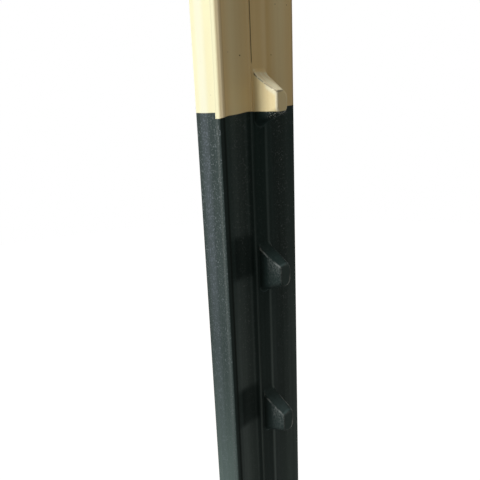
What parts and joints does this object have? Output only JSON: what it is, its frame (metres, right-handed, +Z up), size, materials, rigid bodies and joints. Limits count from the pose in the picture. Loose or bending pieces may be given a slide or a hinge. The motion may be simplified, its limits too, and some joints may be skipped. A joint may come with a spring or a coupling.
{
  "type": "steel t-post",
  "caption": "Studded steel T-section fence post with a dipped top and a swaged anchor plate near its foot.",
  "frame": {"origin": "middle of the flange's front face at the foot of the post", "axes": "+Z up the post, +X across the flange, studs towards -Y and web towards +Y"},
  "size_m": [0.096, 0.0416, 1.829],
  "materials": {
    "post_enamel": "dark green baked enamel over mill-finish steel, the top end dipped in cream enamel",
    "plate_enamel": "dark green baked enamel over stamped steel"
  },
  "bodies": {
    "root": {"post": "post_enamel", "anchor_plate": "plate_enamel"}
  },
  "joints": []
}
